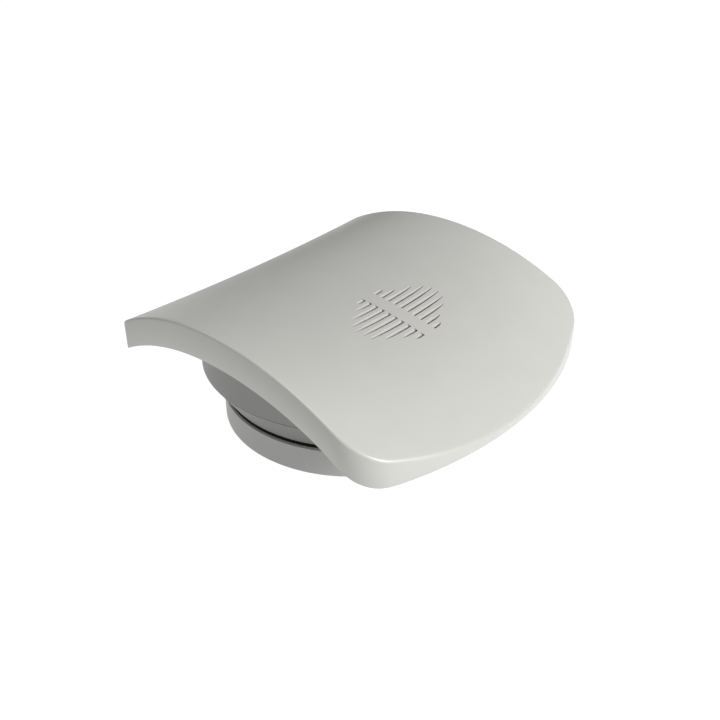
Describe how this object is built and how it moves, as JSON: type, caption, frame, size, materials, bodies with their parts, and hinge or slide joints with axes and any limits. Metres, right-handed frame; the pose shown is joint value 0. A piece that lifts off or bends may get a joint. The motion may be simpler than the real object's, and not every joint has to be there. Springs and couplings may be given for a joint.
{
  "type": "wireless indoor sounder",
  "caption": "Wall or shelf sounder with a saddle-shaped slotted cover over a round dish, on a twist-off round plate.",
  "frame": {"origin": "centre of the wall plate's rear face", "axes": "+Z away from the wall, +X to the rounded end of the cover"},
  "size_m": [0.1287, 0.1348, 0.0563],
  "materials": {
    "cover_plastic": "satin light grey",
    "plate_plastic": "satin light grey",
    "black_plastic": "matt black",
    "natural_plastic": "natural",
    "mesh": "black woven mesh",
    "seal_rubber": "matt black",
    "brass_disc": "bright",
    "board": "green solder mask",
    "shield": "tin plate",
    "chip": "moulded black",
    "ferrite": "enamelled copper on ferrite",
    "can": "sleeved aluminium",
    "copper": "bare copper",
    "spring_steel": "nickel plated",
    "screw_steel": "zinc plated",
    "cell_sleeve": "printed sleeve, left blank"
  },
  "bodies": {
    "plate": {"wall_plate": "plate_plastic"},
    "head": {"front_cover": "cover_plastic", "slot_mesh": "mesh", "sounder_housing": "black_plastic", "sounder_disc": "brass_disc", "sounder_gasket": "seal_rubber", "dish": "plate_plastic", "main_board": "board", "radio_module": "shield", "controller_chip": "chip", "drive_coil": "ferrite", "capacitor": "can", "power_header": "natural_plastic", "antenna": "copper", "battery_tray": "plate_plastic", "seam_seal": "seal_rubber", "cell_1": "cell_sleeve", "cell_2": "cell_sleeve", "cell_3": "cell_sleeve", "cell_4": "cell_sleeve", "contact_plates": "spring_steel", "contact_springs": "spring_steel", "tamper_spring": "spring_steel", "tamper_switch": "black_plastic", "button_spring": "spring_steel", "pair_switch": "black_plastic", "cover_screws": "screw_steel", "board_screws": "screw_steel", "tray_screws": "screw_steel"},
    "tamper": {"tamper_plunger": "natural_plastic"},
    "button": {"pair_button": "natural_plastic"}
  },
  "joints": [
    {"name": "head_twist", "type": "hinge", "parent": "plate", "child": "head", "pos_m": [0, 0, 0], "axis": [0, 0, 1], "range_deg": [0, 35]},
    {"name": "tamper_press", "type": "slide", "parent": "head", "child": "tamper", "axis": [0, 0, 1], "range_m": [0, 0.0008], "stiffness_N_per_m": 200, "springref_m": -0.002, "deforming": ["tamper_spring"]},
    {"name": "pair_press", "type": "slide", "parent": "head", "child": "button", "axis": [0, 0, 1], "range_m": [0, 0.0008], "stiffness_N_per_m": 200, "springref_m": -0.002, "deforming": ["button_spring"]}
  ]
}
